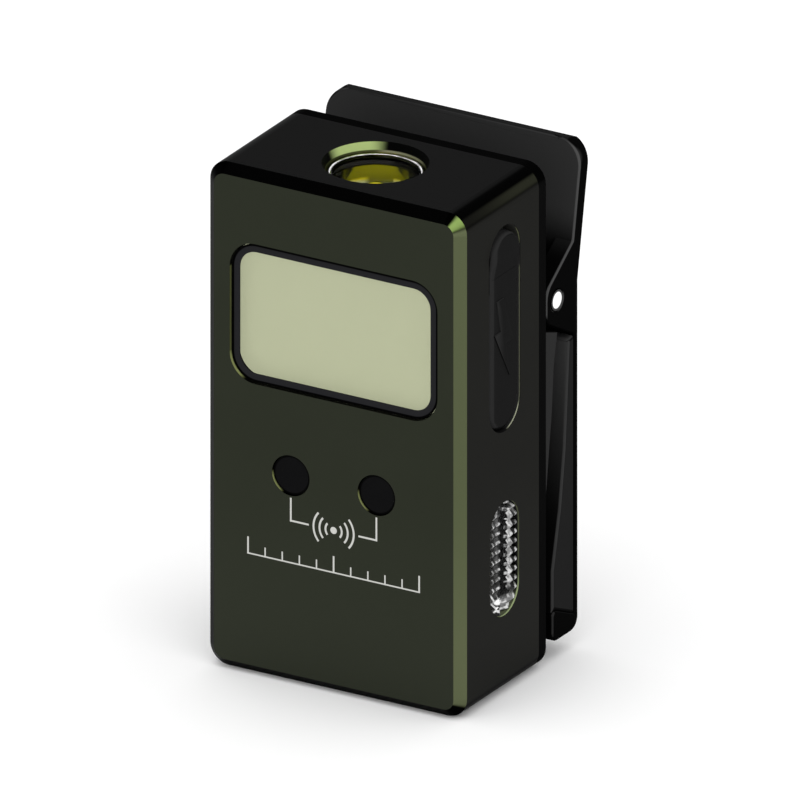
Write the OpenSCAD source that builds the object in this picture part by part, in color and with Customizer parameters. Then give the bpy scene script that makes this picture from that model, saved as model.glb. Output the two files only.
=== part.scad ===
// Clip-on pocket light with a display, a hand-wave sensor and a side light.
// Millimetres. +X is the object's right as its display is read, +Y is to the back, +Z is up.
// The origin is the centre of the body's bottom face. Inside the modules, y counts from the front face.

/* [Body] */
// Width of the body
body_w = 30; // [28:0.2:33]
// Height of the body
body_h = 55; // [51:0.5:60]
// Depth of the metal shell, without the back cover
shell_d = 15.2; // [15.2:0.1:17]
// Thickness of the back cover
cover_t = 1.4; // [1.2:0.1:1.8]
// Radius of the four corners in the front view
corner_r = 2.2; // [1.8:0.1:2.6]
// Flat bevel round the front face
bevel = 1; // [0.6:0.1:1.2]
// Thickness of the front wall
front_wall = 1.6; // [1.5:0.1:1.8]
// Thickness of the side walls and the floor
side_wall = 1.6; // [1.5:0.1:1.7]

/* [Display] */
// Metal left on each side of the window
window_side = 3; // [2.9:0.1:3.5]
// Height of the window
window_h = 15; // [14:0.2:15.2]
// Corner radius of the window
window_r = 2.85; // [2.2:0.05:3.2]
// Thickness of the window
window_t = 0.75; // [0.6:0.05:0.8]
// Thickness of the black frame in front of the window
mask_t = 0.15; // [0.1:0.05:0.2]
// Width of the black frame round the picture
mask_rim = 0.85; // [0.6:0.05:1.1]
// How far the black frame lies below the front face
window_sink = 0.3; // [0.2:0.05:0.35]
// From the top face down to the middle of the display
display_drop = 15.55; // [15.4:0.05:15.8]
// Thickness of the display glass
lcd_t = 1.2; // [1:0.1:1.3]
// Thickness of the backlight plate
backlight_t = 1.2; // [1:0.1:1.3]

/* [Sensor] */
// Diameter of each sensor window
sensor_d = 4.2; // [3.8:0.1:4.6]
// Distance between the two windows
sensor_pitch = 10; // [9.4:0.1:11]
// Height of the windows' centres above the bottom
sensor_rise = 22.7; // [22.2:0.1:23]
// Thickness of the sensor windows
sensor_t = 0.9; // [0.7:0.05:0.95]
// Diameter of the infrared diodes
diode_d = 3; // [2.8:0.1:3.2]

/* [Head lamp] */
// Distance of the lamp's axis from the front face
lamp_line = 8.3; // [8.25:0.05:8.4]
// Diameter of the optic's rim
lens_d = 9.9; // [9.5:0.1:10.2]
// Diameter of the flared mouth at the top face
mouth_d = 10.9; // [10.8:0.1:11.2]
// How far the optic lies below the top face
lens_sink = 1; // [0.8:0.05:1.1]
// Depth of the lamp bore
head_depth = 6.6; // [6.5:0.05:6.8]
// Thickness of the optic's rim
lens_rim_t = 0.7; // [0.6:0.05:0.8]
// Thickness of the seal under the rim
seal_t = 0.5; // [0.4:0.05:0.6]
// Thickness of the lamp's circuit board
led_board_t = 1; // [0.9:0.05:1.1]
// Diameter of the yellow emitter
led_d = 6.6; // [6:0.1:6.7]

/* [Right side] */
// Distance of the port, side lamp and button from the front face
side_line = 8.43; // [8.35:0.01:8.5]
// Width of the port recess
recess_w = 6.2; // [6:0.1:6.4]
// Length of the port recess
recess_len = 22.5; // [22.2:0.1:22.8]
// Depth of the port recess
recess_depth = 1.8; // [1.7:0.05:1.9]
// From the top face down to the middle of the recess
recess_drop = 14.95; // [14.8:0.05:15.2]
// Length of the pull tab
tab_len = 4.4; // [4:0.1:4.8]
// Width of the pull tab
tab_w = 4.9; // [4.4:0.1:5]
// Width of the side lamp's window
side_lens_w = 5.6; // [5.4:0.1:5.8]
// Length of the side lamp's window
side_lens_len = 12.2; // [11.8:0.1:12.6]
// Height of the side lamp's middle above the bottom
side_lens_rise = 14.9; // [14.6:0.1:15.1]
// Distance between the rows of prisms on the side lamp's window
prism_row = 1; // [0.9:0.05:1.2]
// Width of the long groove in the side lamp's window
groove_w = 1.8; // [1.4:0.1:2]

/* [Button] */
// Width of the power button
button_w = 4.4; // [4:0.1:4.6]
// Length of the power button
button_len = 9.4; // [9:0.1:10]
// How far the button stands out of the side
button_proud = 0.45; // [0.42:0.01:0.6]
// Travel of the button
button_travel = 0.35; // [0.3:0.01:0.38]

/* [Battery] */
// Free width between the battery cell and the left wall
cell_left_gap = 1.8; // [1.7:0.1:2.4]
// Free width between the battery cell and the side lamp
cell_right_gap = 1.2; // [1:0.1:2]
// Thickness of the foam between board and cell
pad_t = 0.8; // [0.6:0.1:1]
// Free depth behind the cell for swelling
cell_swell = 0.9; // [0.9:0.05:1.1]

/* [Clip] */
// How far the clip stays inside the body's width on each side
clip_inset = 0.1; // [0.1:0.05:0.4]
// Distance of the pivot behind the back cover
pivot_back = 2.4; // [2.35:0.05:2.5]
// From the top face down to the pivot
pivot_drop = 15.75; // [15.4:0.05:16.2]
// Diameter of the pivot pin
pin_d = 2.2; // [2:0.1:2.2]
// Thickness of the side ears
ear_t = 2.2; // [2:0.1:2.4]
// Reach of the ears in front of the pin
ear_r = 2.1; // [2:0.05:2.1]
// Thickness of the thumb plate
thumb_t = 1.8; // [1.6:0.1:1.9]
// Thickness of the lever's skin behind the insert
skin_t = 0.77; // [0.7:0.01:0.9]
// Rear face of the lower arm behind the back cover
arm_back = 6.6; // [6.5:0.05:6.8]
// Angle by which the thumb plate leans back
thumb_lean = 10; // [9:0.5:11]
// Radius of the thumb plate's top corners
thumb_corner = 2.8; // [2:0.1:3.2]
// From the top face down to the top edge of the thumb plate
thumb_drop = 0.6; // [0:0.1:1]
// Number of grip grooves across the thumb plate
grip_grooves = 4; // [2:1:5]
// Wire diameter of the clip's spring
wire_d = 0.6; // [0.5:0.05:0.6]
// Full turns of the clip's spring
spring_turns = 5; // [4:1:6]

/* [Clearances] */
// Gap round fixed pieces set into the metal
fit_gap = 0.15; // [0.1:0.01:0.18]
// Gap round pieces that move
move_gap = 0.2; // [0.16:0.01:0.25]
// Radial gap of the pivot pin in the ears
pin_gap = 0.05; // [0.04:0.01:0.08]

/* [Hidden] */
$fn = 64;
bit = 0.01; // cuts run this far past a face

body_d = shell_d + cover_t;
half_w = body_w / 2;
inner_w = body_w - 2 * side_wall;
back_y = body_d;

// Main circuit board, set by the charging port that lies on its back
port_w = 8.94;
port_t = 3.2;
port_len = 7.3;
board_t = 1;
board_back = side_line - port_t / 2;
board_front = board_back - board_t;

// Head lamp
head_floor = body_h - head_depth;
cavity_top = head_floor - 1.8;
bore_d = lens_d + 0.2;
lens_top = body_h - lens_sink;
rim_under = lens_top - lens_rim_t;
seal_under = rim_under - seal_t;
led_seat = head_floor + led_board_t;
led_base_t = 0.5;

// Display
display_z = body_h - display_drop;
window_w = body_w - 2 * window_side;
pocket_depth = window_sink + window_t + mask_t;
window_ledge = 0.15; // width of the rim that the window rests on
picture_w = window_w - 2 * mask_rim;
picture_h = window_h - 2 * mask_rim;
picture_r = window_r - mask_rim;
lcd_w = window_w + 0.8;
lcd_h = window_h + 1;
lcd_back = front_wall + lcd_t;
light_back = lcd_back + backlight_t;
zebra_h = 1.6;
holder_w = window_w - 1.6;
holder_low = -lcd_h / 2 + zebra_h + 0.4;
holder_high = cavity_top - display_z - 0.2;

// Port recess and its rubber cover
recess_z = body_h - recess_drop;
recess_low = recess_z - recess_len / 2;
recess_floor = half_w - recess_depth;
port_pad_x = recess_floor - 1.8;
stem_x = port_pad_x - 0.8;
cover_face = half_w - 0.1;
hinge_z = recess_low + 3.6;
port_z = recess_z - 1.45;
tab_low = recess_low + recess_len - 0.7 - tab_len;

// Side lamp
lens_flange_x = half_w - side_wall - 1;
reflector_x = lens_flange_x - 1.8;
side_board_x = reflector_x - 1;

// Button and its switch
flange_t = 0.6;
cap_inner = -half_w + side_wall + 0.1;
flange_inner = cap_inner + flange_t;
switch_x = flange_inner + 1.8;
switch_len = 3;
plunger_d = 1.6;
plunger_hold = 0.5;

// Screws
screw_d = 1.6;
head_d = 2.9;
cover_screw_x = half_w - 2.9;
cover_screw_low = 2.9;
cover_screw_high = body_h - 2.9;
boss_r = 2.4;

// Circuit board screws: two between the display and the cell, one at the bottom
post_d = 3;
pan_d = 2.6;
board_screw_x = stem_x - pan_d / 2 - 0.1;
board_screw_z = display_z - lcd_h / 2 - post_d / 2 - 0.55;
board_screw_low = 3.3;

// Parts soldered to the board
controller_w = 5;
charger_w = 4;
chip_t = 1;
inductor_w = 4;
inductor_t = 2;

// Battery, between the lower cover screws and the board's upper screws
cell_low = cover_screw_low + boss_r - 0.1;
cell_top = board_screw_z - pan_d / 2 - 0.9;
cell_len = cell_top - cell_low;
cell_left = -half_w + side_wall + cell_left_gap;
cell_w = side_board_x - cell_right_gap - cell_left;
cell_x = cell_left + cell_w / 2;
cell_front = board_back + pad_t;
cell_t = shell_d - cell_swell - cell_front;

// Gasket
gasket_w = 0.8;
gasket_t = 0.5;

// Clip: heights and depths of its side profile
clip_w = body_w - 2 * clip_inset;
clip_screw_x = clip_w / 2 - 6.9;
pivot_rise = body_h - pivot_drop;
clip_screw_z = pivot_rise - 6.25;
thumb_rise = body_h - thumb_drop;
pivot_y = back_y + pivot_back;
arm_y = back_y + arm_back;
skin_y = arm_y - skin_t;
bend_z = pivot_rise + 0.85;
arm_low = 2;
jaw_gap = 1.5;
jaw_y = back_y + jaw_gap;
ear_sweep = ear_r + 1; // clear of the ears' lower front corners
lug_t = 2.4;
lug_gap = 0.3;
lug_x = clip_w / 2 - ear_t - lug_gap;
grip_low = arm_low + 2.6;
grip_h = 6.4;
rib_pitch = (clip_w - 2.8) / 5;
coil_r = 1.85;
thumb_len = (thumb_rise - bend_z) / cos(thumb_lean);

// ---------- shared shapes ----------

// Moves a piece from front-face depths to the part's own frame
module in_body() translate([0, -body_d / 2, 0]) children();

// Extrudes a front-view outline from depth y over a thickness
module front_slab(y, t) translate([0, y + t, 0]) rotate([90, 0, 0]) linear_extrude(t) children();

// Extrudes a side-view outline (depth, height) from x over a width
module side_slab(x, t) translate([x, 0, 0]) rotate([90, 0, 90]) linear_extrude(t) children();

// Rectangle with round corners, centred
module rounded(w, h, r) {
    square([w - 2 * r, h], center = true);
    square([w, h - 2 * r], center = true);
    for (sx = [-1, 1], sz = [-1, 1]) translate([sx * (w / 2 - r), sz * (h / 2 - r)]) circle(r);
}

// Slot with round ends, centred and standing up
module stadium(w, len) {
    square([w, len - w], center = true);
    for (s = [-1, 1]) translate([0, s * (len - w) / 2]) circle(d = w);
}

// Points of an arc round c from angle a0 to a1
function arc(c, r, a0, a1, n) =
    [for (i = [0:n]) let (a = a0 + (a1 - a0) * i / n) c + r * [cos(a), sin(a)]];

// Cylinder along y
module rod_y(y, len, d) translate([0, y, 0]) rotate([-90, 0, 0]) cylinder(d = d, h = len);

// Cylinder along x
module rod_x(x, len, d) translate([x, 0, 0]) rotate([0, 90, 0]) cylinder(d = d, h = len);

module at_display() translate([0, 0, display_z]) children();
module at_recess() translate([0, side_line, recess_z]) children();
module at_side_lamp() translate([0, side_line, side_lens_rise]) children();

// Front slab whose corners and edges are cut by a flat bevel
module bevelled_front(w, h, r, c) {
    for (sx = [-1, 1], sz = [-1, 1]) translate([sx * (w / 2 - r), 0, sz * (h / 2 - r)])
        rotate([-90, 0, 0]) cylinder(r1 = r - c, r2 = r, h = c);
    side_slab(-w / 2 + r, w - 2 * r)
        polygon([[0, c - h / 2], [0, h / 2 - c], [c, h / 2], [c, -h / 2]]);
    translate([0, 0, r - h / 2]) linear_extrude(h - 2 * r)
        polygon([[c - w / 2, 0], [w / 2 - c, 0], [w / 2, c], [-w / 2, c]]);
}

// Outline of the main cavity, which steps in round the two lower cover screws
module cavity_outline(grow = 0) difference() {
    low = side_wall - grow;
    high = cavity_top + grow;
    translate([0, (low + high) / 2]) square([inner_w + 2 * grow, high - low], center = true);
    for (s = [-1, 1]) translate([s * cover_screw_x, cover_screw_low]) {
        reach = boss_r - grow;
        circle(reach);
        translate([s * 5, reach / 2 - 5]) square([10, reach + 10], center = true);
        translate([s * (5 - reach / 2), -5]) square([10 + reach, 10], center = true);
    }
}

module at_cover_screws() for (s = [-1, 1], z = [cover_screw_low, cover_screw_high])
    translate([s * cover_screw_x, 0, z]) children();

module at_board_screws() {
    for (s = [-1, 1]) translate([s * board_screw_x, 0, board_screw_z]) children();
    translate([-6, 0, board_screw_low]) children();
}

module at_clip_screws() for (s = [-1, 1]) translate([s * clip_screw_x, 0, clip_screw_z]) children();

// ---------- body ----------

module body_shell() color("#2e3027") in_body() difference() {
    union() {
        difference() {
            union() {
                translate([0, 0, body_h / 2]) bevelled_front(body_w, body_h, corner_r, bevel);
                translate([0, 0, body_h / 2]) front_slab(bevel, shell_d - bevel)
                    rounded(body_w, body_h, corner_r);
            }
            front_slab(front_wall, shell_d) cavity_outline();
            front_slab(shell_d - gasket_t, shell_d) cavity_outline(gasket_w);
            // room for the display, which reaches in front of the lamp block
            at_display() front_slab(front_wall, light_back + 0.4 - front_wall)
                square([inner_w, lcd_h + 0.4], center = true);
        }
        // thick wall round the charging port
        translate([port_pad_x, side_line - recess_w / 2 - 1.2, recess_low - 0.8])
            cube([half_w - side_wall / 2 - port_pad_x, recess_w + 2.4, cavity_top - recess_low + 1]);
        // posts for the circuit board
        at_board_screws() rod_y(front_wall / 2, board_front - front_wall / 2, post_d);
    }
    at_display() {
        front_slab(-bit, pocket_depth + bit)
            rounded(window_w + 2 * fit_gap, window_h + 2 * fit_gap, window_r + fit_gap);
        front_slab(-bit, front_wall + 2 * bit)
            rounded(window_w - 2 * window_ledge, window_h - 2 * window_ledge, window_r - window_ledge);
    }
    for (s = [-1, 1]) translate([s * sensor_pitch / 2, 0, sensor_rise]) {
        rod_y(-bit, sensor_t + 0.2 + bit, sensor_d + 0.2);
        rod_y(-bit, front_wall + 2 * bit, diode_d + 0.2);
    }
    // lamp bore with its flared mouth, and the slot for its leads
    translate([0, lamp_line, 0]) {
        translate([0, 0, head_floor]) cylinder(d = bore_d, h = head_depth + bit);
        translate([0, 0, lens_top]) cylinder(d1 = bore_d, d2 = mouth_d, h = lens_sink + bit);
    }
    translate([-2.4, board_back - 0.2, cavity_top - bit]) cube([4.8, 1.4, head_floor - cavity_top + 2 * bit]);
    at_recess() {
        side_slab(recess_floor, recess_depth + bit) stadium(recess_w, recess_len);
        translate([0, 0, port_z - recess_z]) side_slab(port_pad_x - bit, half_w - port_pad_x)
            stadium(port_t + 0.2, port_w + 0.2);
        translate([0, 0, hinge_z - 1.9 - recess_z]) rod_x(port_pad_x - bit, half_w - port_pad_x, 1.7);
    }
    at_side_lamp() side_slab(half_w - side_wall - bit, side_wall + 2 * bit)
        stadium(side_lens_w + 0.2, side_lens_len + 0.2);
    translate([0, side_line, recess_z]) side_slab(-half_w - bit, side_wall + 2 * bit)
        stadium(button_w + 2 * move_gap, button_len + 2 * move_gap);
    at_cover_screws() rod_y(shell_d - 4.2, 4.2 + bit, screw_d);
    at_board_screws() rod_y(front_wall, board_front, screw_d);
}

module back_cover() color("#0a0a0a") in_body() difference() {
    union() {
        translate([0, 0, body_h / 2]) front_slab(shell_d, cover_t) rounded(body_w, body_h, corner_r);
        front_slab(shell_d - cell_swell + 0.1, cell_swell - 0.1) difference() {
            cavity_outline(-fit_gap);
            cavity_outline(-fit_gap - 1);
        }
    }
    at_cover_screws() {
        rod_y(shell_d - bit, cover_t + 2 * bit, screw_d + 0.2);
        translate([0, back_y - 0.8, 0]) rotate([-90, 0, 0])
            cylinder(d1 = screw_d + 0.2, d2 = head_d + 0.25, h = 0.8 + bit);
    }
    at_clip_screws() rod_y(shell_d - bit, cover_t + 2 * bit, screw_d + 0.2);
}

module back_cover_gasket() color("#303030") in_body() front_slab(shell_d - gasket_t, gasket_t) difference() {
    cavity_outline(gasket_w - 0.05);
    cavity_outline(0.05);
}

// Countersunk screw along y with its head's flat at y = 0 and a six-sided socket
module countersunk(len) difference() {
    union() {
        rotate([90, 0, 0]) cylinder(d1 = head_d, d2 = screw_d - 0.1, h = 0.7);
        rotate([90, 0, 0]) cylinder(d = screw_d - 0.1, h = len);
    }
    translate([0, bit, 0]) rotate([90, 0, 0]) cylinder(d = 1.3, h = 0.5, $fn = 6);
}

module back_cover_screws() color("#3a3a3c") in_body()
    at_cover_screws() translate([0, back_y - 0.05, 0]) countersunk(5);

// ---------- display ----------

module display_window() color("#9aa0a0", 0.3) in_body() at_display()
    front_slab(window_sink + mask_t, window_t) rounded(window_w, window_h, window_r);

module display_mask() color("#222224") in_body() at_display()
    front_slab(window_sink, mask_t) difference() {
        rounded(window_w, window_h, window_r);
        rounded(picture_w, picture_h, picture_r);
    }

module lcd_panel() color("#b8bc98") in_body() at_display()
    front_slab(front_wall, lcd_t) square([lcd_w, lcd_h], center = true);

module lcd_backlight() color("#e8ead8") in_body() at_display()
    front_slab(lcd_back, backlight_t)
        translate([-lcd_w / 2 + 0.4, -lcd_h / 2 + zebra_h + 0.4])
            square([lcd_w - 0.8, lcd_h - zebra_h - 0.6]);

module lcd_holder() color("#d8d8d4") in_body() at_display()
    front_slab(light_back, board_front - light_back) difference() {
        translate([-holder_w / 2, holder_low]) square([holder_w, holder_high - holder_low]);
        translate([-holder_w / 2 + 1.2, holder_low + 1.2])
            square([holder_w - 2.4, holder_high - holder_low - 2.4]);
    }

module lcd_connector() color("#c06a78") in_body() at_display()
    front_slab(lcd_back, board_front - lcd_back)
        translate([3.4 - lcd_w / 2, -lcd_h / 2 + 0.2]) square([lcd_w - 6.8, zebra_h]);

// ---------- sensor ----------

module sensor_window(side) in_body() translate([side * sensor_pitch / 2, 0, sensor_rise])
    rod_y(0.2, sensor_t, sensor_d);

module sensor_window_left() color("#131313") sensor_window(-1);
module sensor_window_right() color("#131313") sensor_window(1);

module sensor_shroud() color("#1c1c1c") in_body() translate([0, 0, sensor_rise]) difference() {
    front_slab(front_wall, board_front - front_wall) square([sensor_pitch + 6, 6], center = true);
    for (s = [-1, 1]) translate([s * sensor_pitch / 2, 0, 0])
        rod_y(front_wall - bit, board_front, diode_d + 1);
}

// Round-nosed diode that stands on the board and looks forward
module diode(side) in_body() translate([side * sensor_pitch / 2, board_front, sensor_rise])
    rotate([90, 0, 0]) rotate_extrude() {
        square([diode_d / 2 + 0.3, 0.8]);
        square([diode_d / 2, 2.2]);
        translate([0, 2.2]) intersection() {
            circle(diode_d / 2);
            square(diode_d / 2);
        }
    }

module ir_emitter() color("#b9c2cc") diode(-1);
module ir_receiver() color("#26202c") diode(1);

// ---------- head lamp ----------

module at_lamp() translate([0, lamp_line, 0]) children();

// Moulded optic: a thick flat disc with a groove and a raised bead round its edge
optic_h = lens_top - led_seat;
optic_r = lens_d / 2;
bead_r = 0.24;
disc_r = optic_r - 1;

module head_lens() color("#e4e8e4", 0.35) in_body() at_lamp() translate([0, 0, led_seat])
    rotate_extrude() {
        under = rim_under - led_seat;
        bead = [optic_r - bead_r, optic_h - bead_r];
        polygon(concat([[0, under - 0.5], [disc_r - 0.2, under - 0.5], [disc_r, under - 0.3],
            [disc_r, under], [optic_r, under]], arc(bead, bead_r, 0, 180, 8),
            [[bead[0] - bead_r - 0.12, bead[1]], [disc_r, optic_h - 0.06], [disc_r - 0.06, optic_h],
            [0, optic_h]]));
    }

// Holder: a cup with a polished wall that leads the emitter's light to the lens
module head_lens_holder() color("#0c0c0c") in_body() at_lamp() translate([0, 0, led_seat]) difference() {
    cylinder(r = optic_r - 0.1, h = seal_under - led_seat);
    translate([0, 0, -bit])
        cylinder(r1 = disc_r - 0.15, r2 = disc_r + 0.15, h = seal_under - led_seat + 2 * bit);
}

module head_lens_seal() color("#050505") in_body() at_lamp() translate([0, 0, seal_under])
    difference() {
        cylinder(r = optic_r, h = seal_t);
        translate([0, 0, -bit]) cylinder(r = optic_r - 0.55, h = seal_t + 2 * bit);
    }

module head_led_board() color("#e0e0dc") in_body() at_lamp() translate([0, 0, head_floor])
    cylinder(d = lens_d - 0.2, h = led_board_t);

// Round emitter: a base plate and a low yellow cap
module head_led() color("#d8c820") in_body() at_lamp() translate([0, 0, led_seat]) {
    cap_h = 2.4;
    cap_r = (led_d * led_d / 4 + cap_h * cap_h) / 2 / cap_h;
    cylinder(d = led_d + 0.4, h = led_base_t);
    translate([0, 0, led_base_t]) rotate_extrude() intersection() {
        translate([0, cap_h - cap_r]) circle(cap_r);
        square([led_d / 2, cap_h]);
    }
}

module head_lead_pins() color("#caa53a") in_body() for (s = [-1, 1])
    translate([s * 1.27 - 0.32, board_back, cavity_top - 3]) cube([0.64, 0.64, head_floor - cavity_top + 3]);

// ---------- side lamp ----------

// Clear pane in front of a flange. Rows of prisms and one long groove in its face spread the light
module side_lens() color("#e8ecec", 0.4) in_body() at_side_lamp() {
    pane_x = lens_flange_x + 1;
    pane_t = side_wall - 0.15;
    face_x = pane_x + pane_t;
    rows = floor(side_lens_len / prism_row / 2);
    side_slab(lens_flange_x, 1) stadium(side_lens_w + 1.8, side_lens_len + 1.8);
    difference() {
        side_slab(pane_x - bit, pane_t + bit) stadium(side_lens_w, side_lens_len);
        translate([0, 0.05 * side_lens_w, -side_lens_len])
            linear_extrude(2 * side_lens_len) notch(face_x, groove_w, 0.8);
        for (k = [-rows:rows - 1]) translate([0, side_lens_w, (k + 0.5) * prism_row])
            rotate([90, 0, 0]) linear_extrude(2 * side_lens_w) notch(face_x, prism_row - 0.1, 0.35);
    }
}

// Cross-section of a V-shaped cut into a face at x
module notch(x, w, depth) polygon([[x - depth, 0], [x + bit, w / 2], [x + bit, -w / 2]]);

module side_reflector() color("#f0f0ee") in_body() at_side_lamp()
    side_slab(reflector_x, lens_flange_x - reflector_x) difference() {
        stadium(side_lens_w - 0.2, side_lens_len - 0.2);
        stadium(side_lens_w - 1.8, side_lens_len - 1.8);
    }

module side_leds() color("#e6d44a") in_body() at_side_lamp() for (k = [-1:1])
    translate([reflector_x, -1.1, k * 3.4 - 1.1]) cube([0.7, 2.2, 2.2]);

module side_led_board() color("#14532d") in_body() at_side_lamp()
    translate([side_board_x, -side_lens_w / 2, -side_lens_len / 2])
        cube([reflector_x - side_board_x, side_lens_w, side_lens_len]);

// ---------- charging port ----------

// Rubber flap: plate, raised pull tab and the plug that fills the port's mouth
module usb_cover() color("#111111") in_body() translate([0, side_line, 0]) {
    plate_t = recess_depth - 0.4;
    plate_x = cover_face - plate_t;
    side_slab(plate_x, plate_t) {
        translate([0, hinge_z + fit_gap]) translate([-recess_w / 2 + fit_gap, 0])
            square([recess_w - 2 * fit_gap, tab_low - hinge_z - fit_gap]);
        translate([-tab_w / 2, tab_low - 1]) square([tab_w, tab_len + 1 - tab_w / 2]);
        translate([0, tab_low + tab_len - tab_w / 2]) circle(d = tab_w);
    }
    // raised pad of the pull tab
    translate([0, 0, tab_low + tab_len - tab_w / 2]) rod_x(cover_face, 0.4, tab_w - 0.6);
    // plug
    translate([0, 0, port_z]) side_slab(recess_floor - 0.5, plate_x - recess_floor + 0.5)
        stadium(port_t - 1.3, port_w - 1.8);
}

// Fixed end of the rubber with the stem that is pulled through the wall
module usb_cover_anchor() color("#111111") in_body() translate([0, side_line, 0]) {
    side_slab(recess_floor, cover_face - recess_floor) intersection() {
        translate([0, recess_z]) stadium(recess_w - 2 * fit_gap, recess_len - 2 * fit_gap);
        translate([-recess_w / 2, recess_low]) square([recess_w, hinge_z - recess_low]);
    }
    translate([0, 0, hinge_z - 1.9]) {
        rod_x(port_pad_x, recess_floor - port_pad_x + bit, 1.5);
        rod_x(stem_x, port_pad_x - stem_x, 2.5);
    }
}

module usb_receptacle() color("#b8babd") in_body() translate([0, side_line, port_z]) difference() {
    side_slab(recess_floor - port_len, port_len) stadium(port_t, port_w);
    side_slab(recess_floor - port_len + 0.5, port_len) stadium(port_t - 0.6, port_w - 0.6);
}

module usb_tongue() color("#161616") in_body() translate([0, side_line, port_z])
    translate([recess_floor - port_len + 0.5, -0.35, 1.12 - port_w / 2])
        cube([port_len - 1.9, 0.7, port_w - 2.24]);

// ---------- electronics ----------

module main_board() color("#123f27") in_body() difference() {
    front_slab(board_front, board_t) {
        // wide above the side lamp, narrow beside it
        board_left = -half_w + side_wall + 1.4;
        wide_low = side_lens_rise + side_lens_len / 2 + 1.6;
        translate([board_left, wide_low])
            square([port_pad_x - 0.2 - board_left, cavity_top - 0.4 - wide_low]);
        translate([board_left + 2.4, side_wall + 0.2])
            square([side_board_x - board_left - 2.4, wide_low - side_wall]);
    }
    at_board_screws() rod_y(board_front - bit, board_t + 2 * bit, screw_d + 0.2);
}

module board_parts() color("#1a1a1c") in_body() {
    // controller and charger in front of the board, coil and capacitors behind it
    translate([-2 - controller_w, board_front - chip_t, sensor_rise - 5.7 - controller_w])
        cube([controller_w, chip_t, controller_w]);
    translate([1, board_front - chip_t, sensor_rise - 6.2 - charger_w]) cube([charger_w, chip_t, charger_w]);
    translate([-0.5 - inductor_w, board_back, cell_top + 5.2]) cube([inductor_w, inductor_t, inductor_w]);
    for (k = [0:3]) translate([0.8 + 1.1 * k, board_back, cell_top + 6]) cube([0.6, 0.6, 1.2]);
}

// Pan head screw along y, seated on the board's back
module board_screws() color("#8a8c90") in_body() at_board_screws() translate([0, board_back, 0])
    difference() {
        union() {
            rod_y(0, 0.7, pan_d);
            rod_y(-3.4, 3.4 + bit, screw_d - 0.1);
        }
        translate([0, 0.3, 0]) rotate([-90, 0, 0]) cylinder(d = 1.2, h = 0.5, $fn = 6);
    }

module battery_cell() color("#a9adb3") in_body()
    translate([cell_x, 0, cell_low + cell_len / 2]) front_slab(cell_front, cell_t)
        rounded(cell_w, cell_len, 1);

module battery_pad() color("#e0dcc8") in_body()
    translate([cell_x, 0, cell_low + cell_len / 2]) front_slab(board_back, pad_t)
        square([cell_w - 4, cell_len - 3], center = true);

module battery_tabs() color("#c9ccd0") in_body() for (s = [-1, 1])
    side_slab(cell_x + s * 2.5 - 1, 2) polygon([
        [board_back, cell_top + 2.6], [board_back, cell_top], [cell_front + 1.2, cell_top],
        [cell_front + 1.2, cell_top + 0.2], [board_back + 0.2, cell_top + 0.2],
        [board_back + 0.2, cell_top + 2.6]]);

// ---------- button ----------

module power_button() color("#1b1c18") in_body() translate([0, side_line, recess_z]) {
    side_slab(-half_w - button_proud, cap_inner + half_w + button_proud) stadium(button_w, button_len);
    side_slab(cap_inner, flange_t) stadium(button_w + 1.4, button_len + 1.4);
}

module switch_plunger() color("#d0d0cc") in_body() translate([0, side_line, recess_z])
    rod_x(flange_inner, switch_x - flange_inner + plunger_hold, plunger_d);

module button_switch() color("#2a2a2c") in_body() translate([0, side_line, recess_z]) difference() {
    translate([switch_x, -port_t / 2, -2.3]) cube([switch_len, port_t, 4.6]);
    rod_x(switch_x - bit, plunger_hold + button_travel + 0.15, plunger_d + 0.2);
}

// ---------- clip ----------

module at_pivot() translate([0, pivot_y, pivot_rise]) children();

// Wedge on the back cover with two lugs that the pin runs through
module clip_base() color("#2b2b2b") in_body() difference() {
    union() {
        side_slab(-clip_w / 2, clip_w) polygon([
            [back_y, pivot_rise - 22], [back_y + 0.4, pivot_rise - 19.5], [back_y + 0.9, pivot_rise - 15.9],
            [back_y + 1.4, pivot_rise - 12], [back_y + 1.8, pivot_rise - 7], [back_y + 2.5, pivot_rise - 3.5],
            [back_y, pivot_rise - 2.6]]);
        for (s = [-1, 1]) side_slab(s * (lug_x - lug_t / 2) - lug_t / 2, lug_t) {
            translate([pivot_y, pivot_rise]) circle(ear_r - 0.1);
            translate([back_y, pivot_rise - 3.2]) square([pivot_back, 3.1 + ear_r]);
        }
    }
    // the ears turn in front of and below the pin
    for (s = [-1, 1]) at_pivot()
        rod_x(s * (clip_w / 2 + lug_x) / 2 - (ear_t + lug_gap) / 2 - bit,
            ear_t + lug_gap + 2 * bit, 2 * ear_sweep);
    // room for the spring between the lugs
    at_pivot() rod_x(-lug_x + lug_t, 2 * (lug_x - lug_t), 2 * (coil_r + wire_d + 0.3));
    at_pivot() rod_x(-clip_w / 2, clip_w, pin_d + 0.02);
    at_clip_screws() rod_y(back_y - bit, 1.5, screw_d);
}

module clip_base_screws() color("#3a3a3c") in_body() at_clip_screws() {
    rod_y(shell_d - 0.6, 0.6, 2.6);
    rod_y(shell_d - bit, cover_t + 1.3, screw_d - 0.1);
}

// Ribbed pad on the back cover that the jaw closes on
module clip_grip_pad() color("#161616") in_body() {
    translate([-clip_w / 2 + 2, back_y, grip_low]) cube([clip_w - 4, 0.5, grip_h]);
    for (k = [0:4]) translate([0, 0, grip_low + 0.4 + k * 1.25]) side_slab(-clip_w / 2 + 2, clip_w - 4)
        polygon([[back_y + 0.5, 0], [jaw_y - 0.25, 0.3], [jaw_y - 0.25, 0.5], [back_y + 0.5, 0.8]]);
}

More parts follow.
